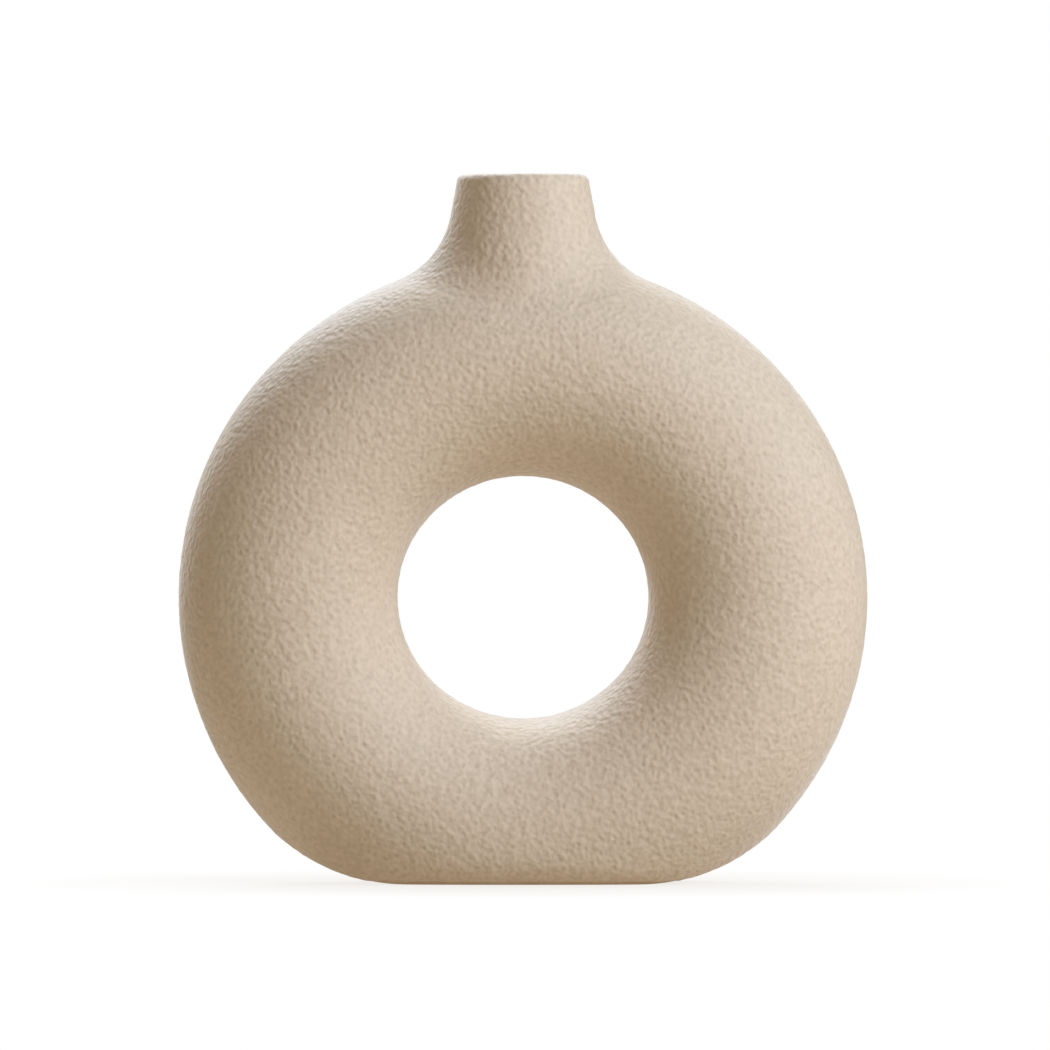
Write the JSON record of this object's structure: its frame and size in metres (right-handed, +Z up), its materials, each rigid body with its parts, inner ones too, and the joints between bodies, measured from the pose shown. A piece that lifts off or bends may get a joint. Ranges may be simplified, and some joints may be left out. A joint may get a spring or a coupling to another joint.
{
  "type": "donut vase",
  "caption": "Upright hollow ring vase with a short flared neck, a flat foot and a matte sand-textured coat; holds a few stems in water.",
  "frame": {"origin": "centre of the resting face, on the table", "axes": "+Z up through the mouth, +Y along the ring's axis to the rear, +X to the right seen from the front"},
  "size_m": [0.1994, 0.0634, 0.2052],
  "materials": {
    "clay": "fired clay, bare and slightly gritty",
    "slip": "fired joining slip, bare",
    "sand_coat": "matte, finely pebbled like sand",
    "inner_glaze": "smooth satin glaze, watertight"
  },
  "bodies": {
    "root": {"front_shell": "clay", "rear_shell": "clay", "seam_lute": "slip", "neck": "clay", "neck_lute": "slip", "base": "clay", "base_lute": "slip", "outer_coat": "sand_coat", "inner_glaze": "inner_glaze"}
  },
  "joints": []
}
